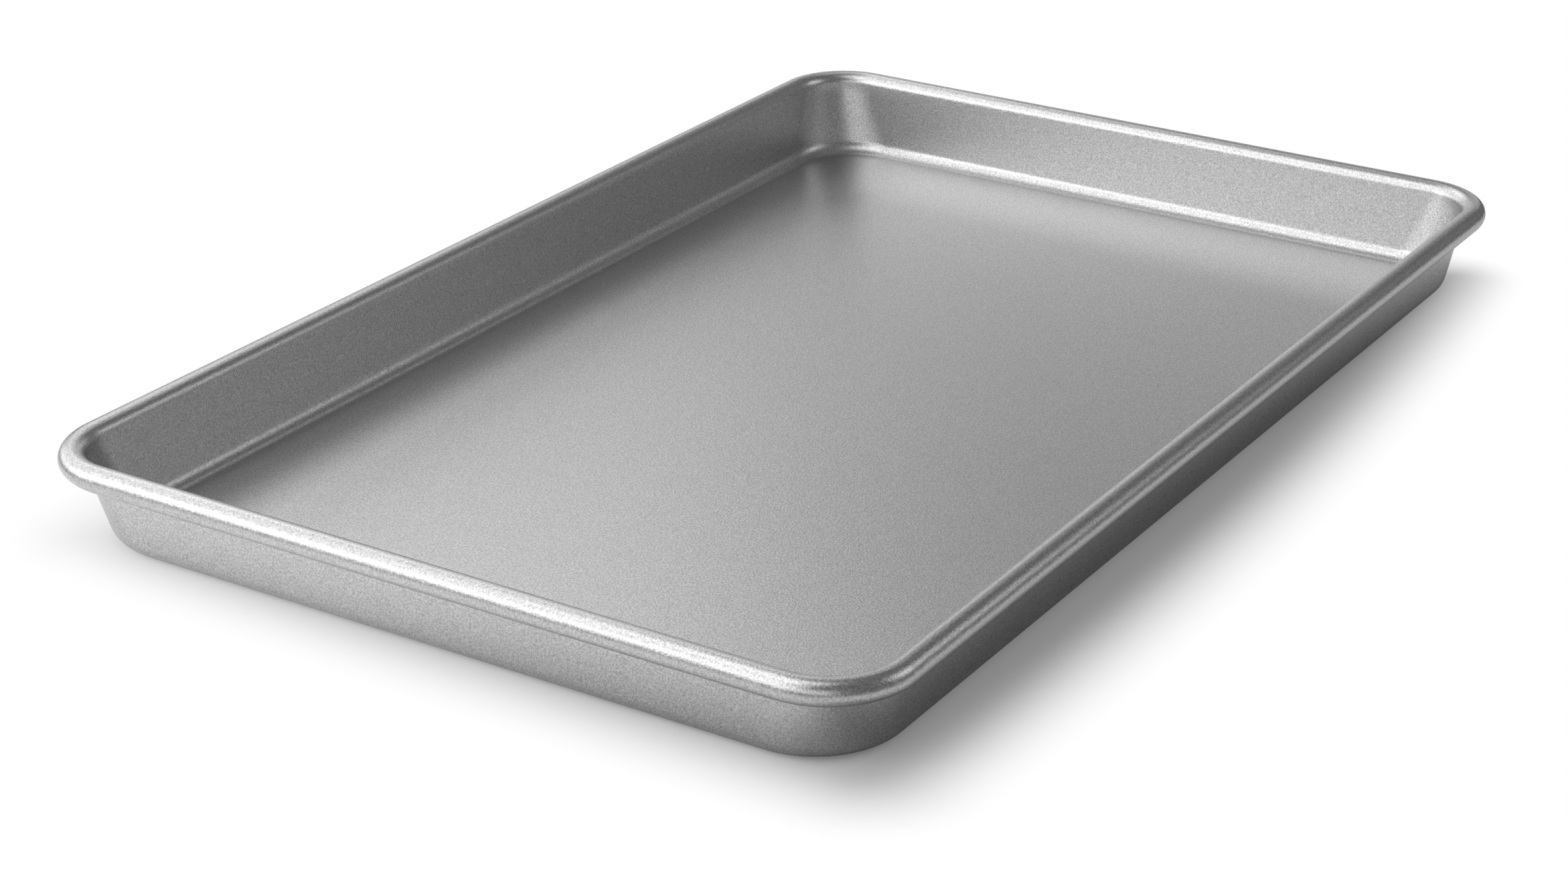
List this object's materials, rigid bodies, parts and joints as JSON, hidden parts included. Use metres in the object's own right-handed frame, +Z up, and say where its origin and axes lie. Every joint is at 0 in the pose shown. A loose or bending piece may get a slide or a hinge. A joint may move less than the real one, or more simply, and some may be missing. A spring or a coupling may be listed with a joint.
{
  "type": "jelly roll pan",
  "caption": "Shallow rectangular baking pan pressed from one steel sheet, with sloped walls, rounded corners and a rim rolled round a reinforcing wire.",
  "frame": {"origin": "middle of the flat underside that the pan rests on", "axes": "+X along the long side, +Y along the short side, +Z up out of the open pan"},
  "size_m": [0.432, 0.28, 0.03],
  "materials": {
    "coated_steel": "satin silver-grey metallic non-stick coating with a fine grain",
    "plain_steel": "drawn steel wire, uncoated"
  },
  "bodies": {
    "root": {"pan_shell": "coated_steel", "rim_wire": "plain_steel"}
  },
  "joints": []
}
